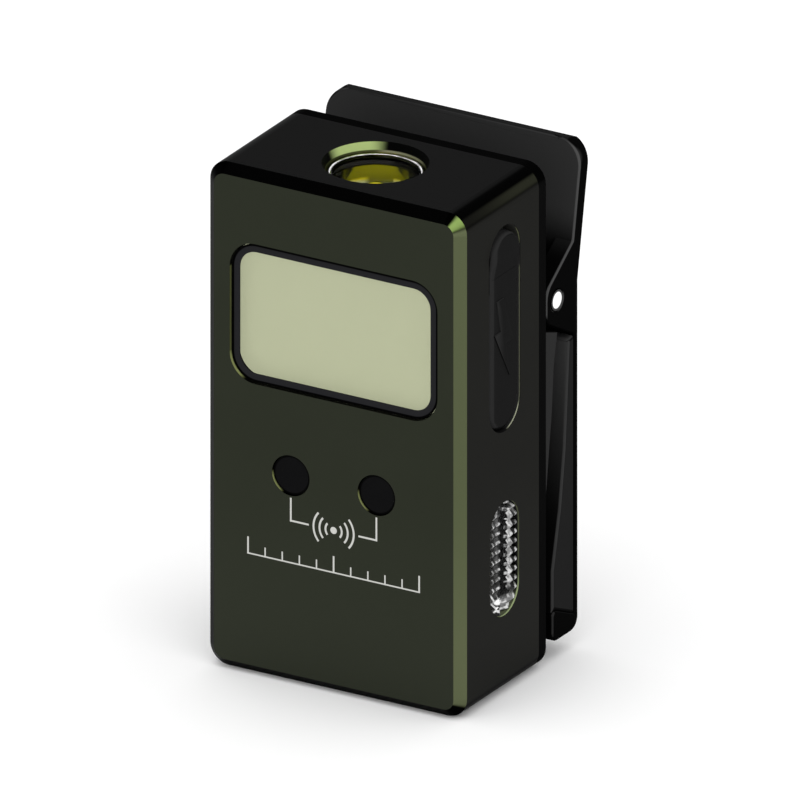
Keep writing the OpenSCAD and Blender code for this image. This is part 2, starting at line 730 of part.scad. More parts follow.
// Side outline of an ear: a slanting front edge that runs round in front of the pin
module ear_outline() translate([pivot_y, pivot_rise]) polygon(concat(
    [[skin_y - pivot_y, 5.9], [3.1, 5.25]], arc([2 - ear_r, 0.53], 2, 125, 180, 7),
    arc([1.6 - ear_r, -0.87], 1.6, 180, 241, 7), [[2.3, -4.25], [skin_y - pivot_y + bit, -4.9]]));

// Side outline of the lever: hook, skin of the lower arm, and thumb plate leaning back from the bend
module lever_outline() polygon(concat(
    arc([arm_y - 1.4, arm_low + 1.4], 1.4, 0, -90, 7), arc([jaw_y + 1, arm_low + 1], 1, -90, -180, 5),
    [[jaw_y, arm_low + 3], [jaw_y + 0.4, arm_low + 3.5], [skin_y, arm_low + 1.75], [skin_y, bend_z - 0.6],
    [arm_y - thumb_t * cos(thumb_lean), bend_z + thumb_t * sin(thumb_lean)],
    [arm_y - thumb_t * cos(thumb_lean) + thumb_len * sin(thumb_lean), thumb_rise + thumb_t * sin(thumb_lean)],
    [arm_y + thumb_len * sin(thumb_lean), thumb_rise], [arm_y, bend_z]]));

module clip_lever() color("#0b0b0b") in_body() difference() {
    union() {
        intersection() {
            side_slab(-clip_w / 2, clip_w) lever_outline();
            // front outline: the top corners are round
            front_slab(back_y, 2 * arm_back) {
                top = thumb_rise + thumb_t * sin(thumb_lean);
                translate([-clip_w / 2 - 1, 0]) square([clip_w + 2, top - thumb_corner]);
                translate([thumb_corner - clip_w / 2, 0]) square([clip_w - 2 * thumb_corner, top + 1]);
                for (s = [-1, 1]) translate([s * (clip_w / 2 - thumb_corner), top - thumb_corner])
                    circle(thumb_corner);
            }
        }
        for (s = [-1, 1]) side_slab(s * (clip_w - ear_t) / 2 - ear_t / 2, ear_t) ear_outline();
    }
    at_pivot() rod_x(-clip_w / 2 - bit, clip_w + 2 * bit, pin_d + 2 * pin_gap);
    // grip grooves across the back of the thumb plate, counted down from its top edge
    translate([0, arm_y, bend_z]) rotate([-thumb_lean, 0, 0]) for (k = [1:grip_grooves])
        translate([0, 0.2, thumb_len - 0.9 - 1.5 * k]) rod_x(4 - clip_w / 2, clip_w - 8, 1);
}

// Moulded filling of the lower arm, hollow behind its ribs
module clip_jaw_insert() color("#202020") in_body() difference() {
    side_slab(-clip_w / 2, clip_w) polygon([
        [skin_y, pivot_rise - 5], [pivot_y + 2.3, pivot_rise - 5.2], [back_y + 3.85, pivot_rise - 16.9],
        [back_y + 2.95, arm_low + 14.1], [jaw_y, arm_low + 7.8], [jaw_y, arm_low + 3.05],
        [jaw_y + 0.4, arm_low + 3.55], [skin_y, arm_low + 1.8]]);
    // recesses between the ribs, open to the front
    for (k = [-2:2]) translate([(k - 0.5) * rib_pitch + 0.6, jaw_y, arm_low + 16])
        cube([rib_pitch - 1.2, skin_y - 0.8 - jaw_y, pivot_rise - arm_low - 23.25]);
}

module clip_pin() color("#d8dadc") in_body() at_pivot() rod_x(-clip_w / 2, clip_w, pin_d);

// Torsion spring: a coil round the pin with one leg on the base and one on the thumb plate
coil_turns = spring_turns + 0.5;
coil_len = coil_turns * (wire_d + 0.15);
coil_steps = 14 * spring_turns + 7;
spring_path = concat(
    [[-coil_len / 2, coil_r + 1.05, 6.4]],
    [for (i = [0:coil_steps]) let (a = 360 * coil_turns * i / coil_steps)
        [coil_len * (i / coil_steps - 0.5), coil_r * cos(a), -coil_r * sin(a)]],
    [[coil_len / 2, -coil_r - 0.1, 5.4]]);

module clip_spring() color("#b9bbbe") in_body() at_pivot() wire(spring_path, wire_d / 2, 8);

// Round wire swept along a path, one ring of points for each path point
module wire(path, r, sides) {
    last = len(path) - 1;
    function unit(v) = v / norm(v);
    function tangent(i) = unit(path[min(i + 1, last)] - path[max(i - 1, 0)]);
    points = [for (i = [0:last]) let (t = tangent(i), u = unit(cross(t, [1, 0.01, 0])), v = cross(t, u))
        for (k = [0:sides - 1]) path[i] + r * (cos(360 * k / sides) * u + sin(360 * k / sides) * v)];
    polyhedron(points, concat(
        [[for (k = [0:sides - 1]) k]],
        [for (i = [0:last - 1], k = [0:sides - 1]) let (n = (k + 1) % sides)
            [i * sides + k, (i + 1) * sides + k, (i + 1) * sides + n, i * sides + n]],
        [[for (k = [sides - 1:-1:0]) last * sides + k]]));
}

body_shell();
back_cover();
back_cover_gasket();
back_cover_screws();
display_window();
display_mask();
lcd_panel();
lcd_backlight();
lcd_holder();
lcd_connector();
sensor_window_left();
sensor_window_right();
sensor_shroud();
ir_emitter();
ir_receiver();
head_lens();
head_lens_holder();
head_lens_seal();
head_led_board();
head_led();
head_lead_pins();
side_lens();
side_reflector();
side_leds();
side_led_board();
usb_cover();
usb_cover_anchor();
usb_receptacle();
usb_tongue();
main_board();
board_parts();
board_screws();
battery_cell();
battery_pad();
battery_tabs();
power_button();
switch_plunger();
button_switch();
clip_base();
clip_base_screws();
clip_grip_pad();
clip_lever();
clip_jaw_insert();
clip_pin();
clip_spring();
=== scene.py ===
# %% [markdown]
# # A clip-on pocket light, dressed around its CAD frame
#
# The frame holds every rigid piece at its real size and place. This script adds what a maker would
# call the finish: anodised metal, printed marks, clear optics and soft edges, with much of the
# studio's light and shade painted into the colours. Two pieces that bend, the rubber port cover and
# the spring, are made anew. Nothing from the frame is moved. Lengths in the scene are metres, so
# MM turns millimetres into them.

# %% Load the frame
import math

import bmesh
import bpy
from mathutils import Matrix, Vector


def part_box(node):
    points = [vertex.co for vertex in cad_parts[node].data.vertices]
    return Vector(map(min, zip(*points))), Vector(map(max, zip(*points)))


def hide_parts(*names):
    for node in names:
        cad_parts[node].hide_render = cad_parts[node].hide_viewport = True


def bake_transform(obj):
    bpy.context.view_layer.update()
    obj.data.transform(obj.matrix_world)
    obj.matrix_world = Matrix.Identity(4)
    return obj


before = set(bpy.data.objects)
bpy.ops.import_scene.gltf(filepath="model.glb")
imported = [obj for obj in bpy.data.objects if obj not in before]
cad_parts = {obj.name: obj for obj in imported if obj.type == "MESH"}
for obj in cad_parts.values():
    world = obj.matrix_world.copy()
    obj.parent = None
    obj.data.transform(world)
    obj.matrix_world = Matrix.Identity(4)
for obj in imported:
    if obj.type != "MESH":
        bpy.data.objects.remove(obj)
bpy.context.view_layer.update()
MM = 0.001

# %% [markdown]
# ## Where things are
#
# Each place is read from the frame, so the dressing follows the pieces when a size changes. These
# few are kept in millimetres, because finishes and moulded details are thought out in millimetres.

# %% Read the driving places
def corners(node):
    """Lowest and highest corner of a node, in millimetres."""
    low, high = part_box(node)
    return Vector(low) / MM, Vector(high) / MM


def middle(node):
    low, high = corners(node)
    return (low + high) / 2


shell_low, shell_high = corners("body_shell")
FRONT, RIGHT, TOP = shell_low.y, shell_high.x, shell_high.z
sensor = middle("sensor_window_right")
lamp = middle("head_lens")
lamp_low, lamp_high = corners("head_lens")
flap_low, flap_high = corners("usb_cover")
anchor_low, anchor_high = corners("usb_cover_anchor")
port = middle("usb_receptacle")
side_lens = middle("side_lens")
pin = middle("clip_pin")
TAB_RADIUS = 2.92
tab_z = flap_high.z - TAB_RADIUS
print("front", round(FRONT, 2), "right", round(RIGHT, 2), "top", round(TOP, 2), "mm")

# %% [markdown]
# ## Camera
#
# The object is seen in a parallel view from the right of its front and a little above. A parallel
# view keeps edges parallel, so height, width and depth can be compared directly. Its direction is
# an azimuth from the front and an elevation, and it looks at the object's middle.

# %% Aim the camera
VIEW_AZIMUTH, VIEW_ELEVATION = math.radians(30.59), math.radians(22.99)
VIEW_WIDTH, CAMERA_DISTANCE = 80.47 * MM, 0.6
VIEW_TARGET = Vector((-0.113, 5.02, 27.17)) * MM
to_camera = Vector((math.sin(VIEW_AZIMUTH) * math.cos(VIEW_ELEVATION),
                    -math.cos(VIEW_AZIMUTH) * math.cos(VIEW_ELEVATION),
                    math.sin(VIEW_ELEVATION)))
camera_data = bpy.data.cameras.new("camera")
camera_data.type = "ORTHO"
camera_data.ortho_scale = VIEW_WIDTH
camera_data.clip_start, camera_data.clip_end = 1 * MM, 5
camera = bpy.data.objects.new("camera", camera_data)
camera.location = VIEW_TARGET + CAMERA_DISTANCE * to_camera
camera.rotation_euler = to_camera.to_track_quat("Z", "Y").to_euler()
bpy.context.scene.collection.objects.link(camera)
bpy.context.scene.camera = camera
print("camera at", [round(v, 3) for v in camera.location])

# %% [markdown]
# ## Materials written as sums
#
# A shader is a graph of small boxes. Linking them one by one hides what the graph works out, so a
# Wire wraps one output socket and lends it +, -, *, / and powers: each operator adds the Math node
# it needs. Colours go through Mix and vectors through Vector Math, and `node` adds any other box,
# with its type and settings first and then its sockets.

# %% A graph and its wires
class Graph:
    """A node tree that hands back wires."""

    def __init__(self, tree):
        self.tree = tree

    def plug(self, slot, value):
        """Puts a number or colour on a socket, or links a wire to it."""
        if isinstance(value, Wire):
            self.tree.links.new(value.socket, slot)
        else:
            slot.default_value = value

    def node(self, kind, settings=None, sockets=None, output=0):
        box = self.tree.nodes.new(kind)
        for key, value in (settings or {}).items():
            setattr(box, key, value)
        for key, value in (sockets or {}).items():
            self.plug(box.inputs[key], value)
        return Wire(self, box.outputs[output])


class Wire:
    """One output socket, with arithmetic."""

    def __init__(self, graph, socket):
        self.graph = graph
        self.socket = socket

    def math(self, operation, *others, first=None):
        values = (self,) + others if first is None else (first, self)
        return self.graph.node("ShaderNodeMath", {"operation": operation}, dict(enumerate(values)))

    def __add__(self, other):
        return self.math("ADD", other)

    def __sub__(self, other):
        return self.math("SUBTRACT", other)

    def __mul__(self, other):
        return self.math("MULTIPLY", other)

    def __truediv__(self, other):
        return self.math("DIVIDE", other)

    def __pow__(self, other):
        return self.math("POWER", other)

    def __rsub__(self, other):
        return self.math("SUBTRACT", first=other)

    def __rtruediv__(self, other):
        return self.math("DIVIDE", first=other)

    __radd__, __rmul__ = __add__, __mul__

    def absolute(self):
        return self.math("ABSOLUTE")

    def clamped(self):
        return self.graph.node("ShaderNodeClamp", None, {0: self})

    def dot(self, direction):
        """Vector Math's dot product with a fixed direction."""
        return self.graph.node("ShaderNodeVectorMath", {"operation": "DOT_PRODUCT"},
                               {0: self, 1: direction}, output=1)

    def parts(self):
        """The x, y and z of a vector wire."""
        box = self.graph.node("ShaderNodeSeparateXYZ", None, {0: self}).socket.node
        return [Wire(self.graph, socket) for socket in box.outputs]

    def step(self, start, end):
        """0 at start and 1 at end, with a soft rise or fall between."""
        return self.graph.node("ShaderNodeMapRange", {"interpolation_type": "SMOOTHSTEP"},
                               {0: self, 1: start, 2: end, 3: 0.0, 4: 1.0})

    def within(self, low, high, soft=0.02):
        """1 between low and high, 0 outside."""
        return self.step(low - soft, low + soft) * self.step(high + soft, high - soft)

    def line(self, centre, width):
        """1 within half a width of a centre."""
        return (self - centre).absolute().step(width / 2 + 0.02, width / 2 - 0.02)

    def mix(self, low, high):
        """A colour: low where this is 0, high where it is 1."""
        box = self.graph.node("ShaderNodeMix", {"data_type": "RGBA"}, {0: self, 6: low, 7: high})
        return Wire(self.graph, box.socket.node.outputs[2])


print("wires ready")

# %% [markdown]
# ## One builder for every finish
#
# Every finish here is one Principled shader. Plain numbers are set on its own sockets, and what
# varies over a surface reaches Base Color, Roughness, Metallic, Emission Color or Normal by wire.
# Colours are written as 0 to 255 values, as on a paint card, and turned to linear light.

# %% Build a finish
def tone(red, green, blue):
    """A paint-card colour as linear light with alpha."""
    def linear(value):
        part = value / 255
        return part / 12.92 if part <= 0.04045 else ((part + 0.055) / 1.055) ** 2.4
    return (linear(red), linear(green), linear(blue), 1.0)


def grey(value):
    return tone(value, value, value)


class Finish(Graph):
    """A material with one Principled shader."""

    def __init__(self, name, **values):
        self.material = bpy.data.materials.new(name)
        self.material.use_nodes = True
        super().__init__(self.material.node_tree)
        self.shader = self.tree.nodes["Principled BSDF"]
        self.set(**values)

    def set(self, **values):
        for key, value in values.items():
            self.plug(self.shader.inputs[key.replace("_", " ")], value)
        return self

    def place(self):
        """Object coordinates, in millimetres in the frame's own axes."""
        place = self.node("ShaderNodeTexCoord", output=3)
        return self.node("ShaderNodeVectorMath", {"operation": "SCALE"},
                         {0: place, "Scale": 1 / MM})

    def facing(self, direction, wide, tight):
        """1 where the surface looks within `tight` degrees of a direction, 0 beyond `wide`."""
        along = self.node("ShaderNodeTexCoord", output=1).dot(Vector(direction).normalized())
        return along.step(math.cos(math.radians(wide)), math.cos(math.radians(tight)))

    def shades(self, base, lobes):
        """A base colour with each (direction, wide, tight, colour) blended over it."""
        for direction, wide, tight, shade in lobes:
            base = self.facing(direction, wide, tight).mix(base, shade)
        return base

    def noise(self, per_mm, detail=2.0):
        """A cloudy pattern with about this many blobs in a millimetre."""
        return self.node("ShaderNodeTexNoise", None,
                         {"Vector": self.place(), "Scale": per_mm, "Detail": detail})

    def bump(self, height, depth):
        """Lets a height of 0 to 1 stand this many millimetres out of the surface."""
        return self.set(Normal=self.node("ShaderNodeBump", None,
                                         {"Height": height, "Distance": depth * MM}))


def dress(names, finish):
    """Gives frame nodes a finish."""
    for name in names:
        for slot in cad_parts[name].material_slots:
            slot.material = finish.material
    print(finish.material.name, "->", ", ".join(names))


# %% [markdown]
# ## A studio painted into dark metal
#
# Dark satin metal is almost a mirror: its shade is what it mirrors. In a product studio the front
# looks at a grey card, the sides and the top at darker ones, and only what looks to the right of
# the front catches the strip light. That pattern is painted here into the colour as shades by
# facing direction, painted reflections that stay on the object from every side. What looks between
# two of them is painted black, which draws the thin dark line that frames each flat. Specular Tint
# holds back the rim glare of bare metal, which a dark oxide layer doesn't have.

# %% Facing directions
TO_FRONT, TO_BACK, TO_TOP, TO_BOTTOM = (0, -1, 0), (0, 1, 0), (0, 0, 1), (0, 0, -1)
TO_RIGHT, TO_LEFT, TO_STRIP = (1, 0, 0), (-1, 0, 0), (0.707, -0.707, 0)
OXIDE_RIM = grey(190)
CLEAR = (1.0, 1.0, 1.0, 1.0)
print("rim tint of the oxide", round(OXIDE_RIM[0], 3))

# %% [markdown]
# ## Anodised shell
#
# The shell is machined from aluminium, blasted with fine glass beads and dyed a very dark olive.
# The dye sits in a clear oxide layer, so the metal's own shine takes the dye's colour. The bead
# marks are a fine noise in roughness and normal, and the dye is a little uneven. Each face's shade
# is a painted reflection of the studio, chosen by facing direction. Near its foot the front, the
# right side and the bevel are painted lighter, a painted reflection of the pale floor.

# %% Shell colour by facing, as painted reflections
shell = Finish("anodised_olive", Specular_IOR_Level=0.01, Specular_Tint=OXIDE_RIM)
beads = shell.noise(9.0, detail=3.0)
dye = shell.noise(0.12)
x, y, z = shell.place().parts()
# Painted reflection of the pale floor: lower down, the front, the right side and the bevel are
# lighter.
near_floor = z.step(26.0, 3.0)
# Painted highlight on the rounding between the top and the right side, lighter towards the rear.
rear_light = y.step(FRONT + 1.5, FRONT + 13.0).mix(tone(23, 23, 20), tone(42, 43, 34))
front_reflection_and_dye = dye.mix(tone(43, 46, 37), tone(46, 49, 40))
right_reflection_and_dye = dye.mix(tone(33, 33, 31), tone(36, 36, 34))
# Painted reflections chosen by facing direction, with the uneven dye in them; between lobes,
# painted black.
colour = shell.shades(grey(2), [
    (TO_FRONT, 24, 12, near_floor.mix(front_reflection_and_dye, tone(49, 52, 43))),
    (TO_RIGHT, 22, 8, near_floor.mix(right_reflection_and_dye, tone(40, 40, 38))),
    (TO_LEFT, 22, 8, dye.mix(tone(36, 37, 34), tone(39, 40, 37))),
    (TO_TOP, 18, 6, tone(20, 20, 20)),
    (TO_BOTTOM, 18, 6, tone(22, 22, 21)),
    (TO_BACK, 20, 8, tone(22, 22, 21)),
    ((0.84, 0, 0.54), 17, 2, rear_light),
    ((0, -0.707, 0.707), 20, 8, grey(1)),
    (TO_STRIP, 20, 8, near_floor.mix(tone(79, 85, 61), tone(89, 95, 69))),
    ((0.577, -0.577, 0.577), 20, 8, tone(130, 154, 86)),
])
print("shell shaded from", len(shell.tree.nodes), "nodes so far")

# %% [markdown]
# ## Pocket walls
#
# The pockets for the window, the sensors, the two lamps and the port are milled after the
# blasting, and their walls are painted dark, a painted shade. Where such a wall looks to the strip
# light, it has a painted bright olive highlight. The shallow pockets are matt, so they keep their
# painted shade next to what fills them. Each pocket is told apart by where it lies. The first are
# the pockets in the front.

# %% Walls of the window and sensor pockets
POCKET_DEPTH, POCKET_MARGIN = 1.5, 2.1
off_flat = 1.0 - shell.facing(TO_FRONT, 60, 30)
in_front = (y.within(FRONT + 0.02, FRONT + POCKET_DEPTH) * off_flat
            * x.within(POCKET_MARGIN - RIGHT, RIGHT - POCKET_MARGIN))
# Painted highlight along the rim of each front pocket, dark deeper in, a painted shade.
pocket_rim_highlight = y.step(FRONT + 0.45, FRONT + 0.3).mix(grey(10), tone(140, 147, 94))
front_wall = shell.shades(grey(3), [((0.87, 0, 0.5), 36, 14, pocket_rim_highlight)])
colour = in_front.mix(colour, front_wall)
print("front pocket walls added")

# %% [markdown]
# ## The head lamp's mouth
#
# The bore opens in a flare at the top face. The distance from the lamp's axis picks the bore out,
# and the height tells the flare from the step below it. The flare is painted dark with a painted
# bright arc where it looks to the strip light, and the step below has a painted highlight where it
# looks to the front. The flare is matt, so its painted arc stays where it is.

# %% Walls of the head lamp's mouth
MOUTH_RADIUS, MOUTH_DEPTH = 5.7, 6.7
from_lamp = (x ** 2.0 + (y - lamp.y) ** 2.0) ** 0.5
in_mouth = from_lamp.within(0.0, MOUTH_RADIUS) * z.within(TOP - MOUTH_DEPTH, TOP - 0.02)
flare = z.step(TOP - 0.85, TOP - 0.75)
# Painted highlight on the step where it looks to the front; painted bright arc on the flare below.
step_wall = shell.facing((-0.1, -1.0, 0.28), 44, 26).mix(tone(62, 66, 38), tone(128, 128, 102))
mouth_wall = shell.facing((0.783, -0.556, 0.28), 37, 15).mix(
    flare.mix(step_wall, grey(5)), flare.mix(tone(62, 66, 38), tone(176, 196, 128)))
colour = in_mouth.mix(colour, mouth_wall)
print("lamp mouth walls added")

# %% [markdown]
# ## The port's recess
#
# The rubber cover lies in a long recess. Its walls are painted darker downwards, a painted shade,
# and a painted highlight draws a thin line of light on the sharp rim where it looks to the front,
# brighter beside the lower part.

# %% Walls of the port's recess
RECESS_DEPTH, RECESS_HALF_WIDTH = 1.9, 3.2
from_port = (y - port.y).absolute()
in_recess = (x.within(RIGHT - RECESS_DEPTH, RIGHT - 0.05)
             * from_port.within(-1.0, RECESS_HALF_WIDTH)
             * z.within(anchor_low.z - 0.6, flap_high.z + 1.0))
rim = x.step(RIGHT - 0.2, RIGHT - 0.14)
rear_rim = rim * z.step(tab_z - 1.6, tab_z - 2.2)
# Painted shade: the recess walls and floor are darker downwards; the rim lobes below are painted
# highlights.
recess_floor = z.step(tab_z - 3.0, tab_z + 0.6).mix(grey(24), tone(58, 58, 55))
recess_wall = shell.shades(recess_floor, [
    ((0, -0.95, 0.32), 52, 28, rear_rim.mix(grey(50), tone(98, 100, 84))),
    ((0, -0.66, 0.75), 34, 16, rear_rim.mix(grey(50), tone(190, 193, 166))),
    ((0, -0.92, -0.38), 22, 8, rim.mix(tone(56, 56, 53), tone(124, 128, 98)))])
colour = in_recess.mix(colour, recess_wall)
print("recess walls added")

# %% [markdown]
# ## The side lamp's opening
#
# This opening is an oval, so the distance from an oval's edge picks out its wall. The wall is
# painted dark deep down, a painted shade, and painted lighter at the rim, a painted highlight,
# most of all towards the lower end.

# %% Walls of the side lamp's opening
OPENING_HALF_Y, OPENING_HALF_Z = 2.9, 6.2
side_y, side_z = y - side_lens.y, z - side_lens.z
side_end = (side_z.absolute() - (OPENING_HALF_Z - OPENING_HALF_Y)).math("MAXIMUM", 0.0)
side_rim = (side_y ** 2.0 + side_end ** 2.0) ** 0.5 - OPENING_HALF_Y
in_opening = x.within(RIGHT - 1.5, RIGHT - 0.02, 0.01) * side_rim.within(-0.08, 0.08)
# Painted highlight at the rim and painted shade deep down, both lighter towards the lower end.
opening_rim = side_z.step(-2.0, -4.5).mix(tone(88, 92, 72), tone(160, 174, 128))
deep_wall = side_z.step(-4.0, -5.5).mix(grey(30), tone(84, 90, 68))
opening_wall = x.step(RIGHT - 0.22, RIGHT - 0.16).mix(deep_wall, opening_rim)
colour = in_opening.mix(colour, opening_wall)
print("side lamp walls added")

# %% [markdown]
# ## Printed marks
#
# The marks are screen printed in light grey ink on the anodised front: a leader from each sensor
# to a sign of spreading waves between them, and a plain scale below. Ink is no metal, so Metallic
# falls to 0 under it, and a bump lets it stand about two hundredths of a millimetre proud.

# %% Marks on the front
SIGN_Z, SCALE_Z, STROKE, TICK_STEP = 17.8, 13.2, 0.2, 2.0
side = x.absolute()
up = z - SIGN_Z
ring = (x ** 2.0 + up ** 2.0) ** 0.5
leader = (side.line(sensor.x, STROKE) * z.within(SIGN_Z - STROKE / 2, sensor.z - 2.4)
          + z.line(SIGN_Z, STROKE) * side.within(2.9, sensor.x + STROKE / 2))
sector = (side * 0.9 - up.absolute()).step(0.0, 0.05)
waves = (ring.line(0.95, 0.22) + ring.line(1.65, 0.22) + ring.line(2.35, 0.22)) * sector
dot = ring.step(0.4, 0.36)


def ticks(spacing, height, width):
    """Upright strokes at every spacing along the scale."""
    phase = side / spacing
    stroke = ((phase - phase.math("ROUND")) * spacing).line(0.0, width)
    return stroke * z.within(SCALE_Z, SCALE_Z + height)


scale = z.line(SCALE_Z, 0.16) + ticks(TICK_STEP, 1.0, 0.16) + ticks(5 * TICK_STEP, 1.8, 0.2)
scale = scale * side.within(-1.0, 5 * TICK_STEP + 0.1)
ink = ((leader + waves + dot + scale) * shell.facing(TO_FRONT, 12, 6)).clamped()
ink = ink * y.within(FRONT - 1.0, FRONT + 0.1)
shell.set(Base_Color=ink.mix(colour, tone(196, 196, 191)),
          Metallic=(1.0 - ink - in_front - in_recess - in_opening - in_mouth * flare).clamped(),
          Roughness=0.4 + beads * 0.06 + ink * 0.15)
shell.bump(beads * 0.15 + ink, 0.02)
dress(["body_shell"], shell)

# %% [markdown]
# ## Black cover, lever and reflector
#
# The back cover is a blacker anodised plate, and the lever is pressed sheet with a satin black
# coat. Both are made as coats that mirror next to nothing, with painted shades by facing direction:
# the lever's flat inner face is painted grey and darker near the pin, a painted shade, its cut
# edges are black and its rounded front edges carry a painted highlight. The wall of the lamp's cup
# is a dark mirror tinted olive, a painted share of the emitter's yellow that it carries up to the
# lens, with two painted pale glints low at its back.

# %% Dark metals
cover = Finish("black_cover", Specular_IOR_Level=0.001)
grain = cover.noise(8.0, detail=3.0)
# Painted shades by facing direction: the right side and the back are lighter than the rest.
cover.set(Base_Color=cover.shades(grey(2), [(TO_RIGHT, 20, 6, grey(9)),
                                            (TO_BACK, 25, 10, grey(34))]),
          Roughness=0.4 + grain * 0.08)
dress(["back_cover"], cover.bump(grain, 0.003))

lever = Finish("clip_black", Specular_IOR_Level=0.001)
grain = lever.noise(7.0, detail=3.0)
scuffs = lever.noise(0.3)
_, depth, height = lever.place().parts()
from_pin, from_hook = height - pin.z, height - corners("clip_lever")[0].z
# Painted light and shade: the inner face is a little lighter lower down, and dark from just above
# the pin downwards.
inner_face = scuffs.mix(from_pin.step(16.75, 5.75).mix(grey(44), grey(50)), grey(46))
inner_face = from_pin.step(3.55, 8.75).mix(grey(4), inner_face)
# Painted highlights: bright on the rounded front edges above the pin, dimmer at the hook's front.
upper = from_pin.step(-2.75, -0.75)
hook_front = from_hook.step(4.0, 3.5) * (depth - pin.y).step(1.8, 0.8)
edge_light = upper.mix(hook_front.mix(grey(7), grey(42)), grey(70))
# Painted shades by facing direction: grey inner face, black cut sides, lighter back, top and edges.
lever.set(Base_Color=lever.shades(grey(6), [
    (TO_FRONT, 34, 16, inner_face),
    ((0, -0.578, 0.816), 34, 16, inner_face),
    (TO_BACK, 26, 12, scuffs.mix(grey(36), grey(42))),
    ((0.5, 0.75, 0.43), 34, 18, grey(74)), ((-0.5, 0.75, 0.43), 34, 18, grey(74)),
    ((0.66, 0.75, 0), 20, 10, grey(60)), ((-0.66, 0.75, 0), 20, 10, grey(60)),
    (TO_TOP, 24, 12, grey(22)),
    ((0.68, -0.6, 0.35), 38, 20, edge_light),
    ((-0.707, -0.707, 0.1), 24, 10, upper.mix(grey(7), grey(52))),
]), Roughness=0.42 + grain * 0.1)
dress(["clip_lever"], lever.bump(grain, 0.004))

mirror = Finish("dark_reflector", Metallic=1.0, Specular_Tint=grey(100))
cup_x, cup_y, cup_z = mirror.place().parts()
# Painted reflection: two pale glints low on the back of the cup wall, and an olive tint in the
# mirror.
mirror_glints = cup_x.within(-4.5, -2.7, 0.3) + cup_x.within(-0.25, 0.6, 0.12)
low_wall = (cup_z - lamp_low.z).step(-1.1, -1.45) * (cup_y - lamp.y).step(0.0, 0.5) * mirror_glints
mirror.set(Base_Color=low_wall.clamped().mix(tone(126, 130, 66), tone(228, 228, 190)))
dress(["head_lens_holder"], mirror.set(Roughness=0.04 + mirror.noise(3.0) * 0.03))

# %% [markdown]
# ## Mouldings and rubber
#
# The jaw and the wedge are glass-filled plastic from a spark-eroded mould, the seals and pads are
# rubber. They are matt, so the shader's specular level is low and the colour carries them, with
# painted shades by facing direction: lit sides, tops and edges are painted lighter, and the jaw's
# face in the gap is painted darker downwards, a painted shade.

# %% Moulded and rubber finishes
def grained(name, colour, roughness, per_mm, depth, level=0.003, shades=()):
    """A matt finish with an even grain, a little darker in patches, under painted shades by facing.
    """
    finish = Finish(name, Specular_IOR_Level=level)
    grain = finish.noise(per_mm, detail=3.0)
    darker = tuple(0.88 * part for part in colour[:3]) + (1.0,)
    finish.set(Base_Color=finish.shades(finish.noise(0.25).mix(darker, colour), shades),
               Roughness=roughness + grain * 0.12)
    return finish.bump(grain, depth)


jaw = grained("clip_grey", grey(14), 0.5, 5.0, 0.008)
jaw_rise = jaw.place().parts()[2] - corners("clip_jaw_insert")[0].z
# Painted shade: the jaw's face in the gap is darker downwards; top and edge lobes are painted
# highlights.
gap_face = jaw_rise.step(8.2, 38.2).mix(grey(7), grey(68))
jaw.set(Base_Color=jaw.shades(grey(12), [
    (TO_RIGHT, 14, 4, jaw.noise(0.25).mix(grey(28), grey(31))), (TO_LEFT, 14, 4, grey(30)),
    (TO_TOP, 60, 40, grey(56)), (TO_STRIP, 36, 20, grey(52)),
    ((0, -0.707, 0.707), 30, 16, gap_face), (TO_FRONT, 24, 10, gap_face),
    (TO_BACK, 24, 10, grey(20))]))
dress(["clip_jaw_insert"], jaw)
# Painted light: the wedge's sides are lighter than the rest.
dress(["clip_base"], grained("wedge_grey", grey(12), 0.5, 5.0, 0.008, shades=[
    (TO_RIGHT, 24, 8, grey(42)), (TO_LEFT, 24, 8, grey(42))]))
# Painted highlights on the sides and front edges of the rubber parts.
rubber = grained("black_rubber", grey(13), 0.62, 6.0, 0.008, shades=[
    (TO_RIGHT, 24, 8, grey(25)), (TO_STRIP, 43, 34, grey(44))])
dress(["clip_grip_pad", "back_cover_gasket", "sensor_shroud", "head_lens_seal"], rubber)
cover_rubber = grained("port_cover_rubber", grey(13), 0.62, 6.0, 0.008)
cover_depth = cover_rubber.place().parts()[1] - flap_low.y
# Painted highlight: a lighter stripe along the front of the cover's face, and painted light on its
# rounded edges.
cover_face = cover_depth.step(1.12, 0.95).mix(grey(25), grey(38))
cover_rubber.set(Base_Color=cover_rubber.shades(grey(13), [
    (TO_RIGHT, 24, 8, cover_face), (TO_STRIP, 43, 34, grey(39)),
    ((0.5, 0.85, 0), 58, 30, grey(30)), ((0.25, -0.3, 0.92), 62, 38, grey(42))]))
dress(["power_button"], grained("button_plastic", grey(46), 0.5, 6.0, 0.012))
dress(["usb_tongue", "board_parts", "button_switch"],
      grained("black_plastic", grey(10), 0.4, 5.0, 0.004))

# %% [markdown]
# ## Bright metal
#
# The pivot pin, the screws, the spring and the port are bare metal. Turned or drawn metal has fine
# lines that scatter light a little, so the roughness and the shade follow a noise. The pin is
# polished and ends in a painted dark line, a painted shade of the gap round its head.

# %% Bare metals
def bare_metal(name, colour, roughness):
    finish = Finish(name, Metallic=1.0)
    lines = finish.noise(12.0, detail=1.0)
    return finish.set(Base_Color=(lines * 0.3).mix(colour, grey(150)),
                      Roughness=roughness + lines * 0.12)


polished = bare_metal("pin_steel", grey(255), 0.22)
_, pin_y, pin_z = polished.place().parts()
from_pivot = ((pin_y - pin.y) ** 2.0 + (pin_z - pin.z) ** 2.0) ** 0.5
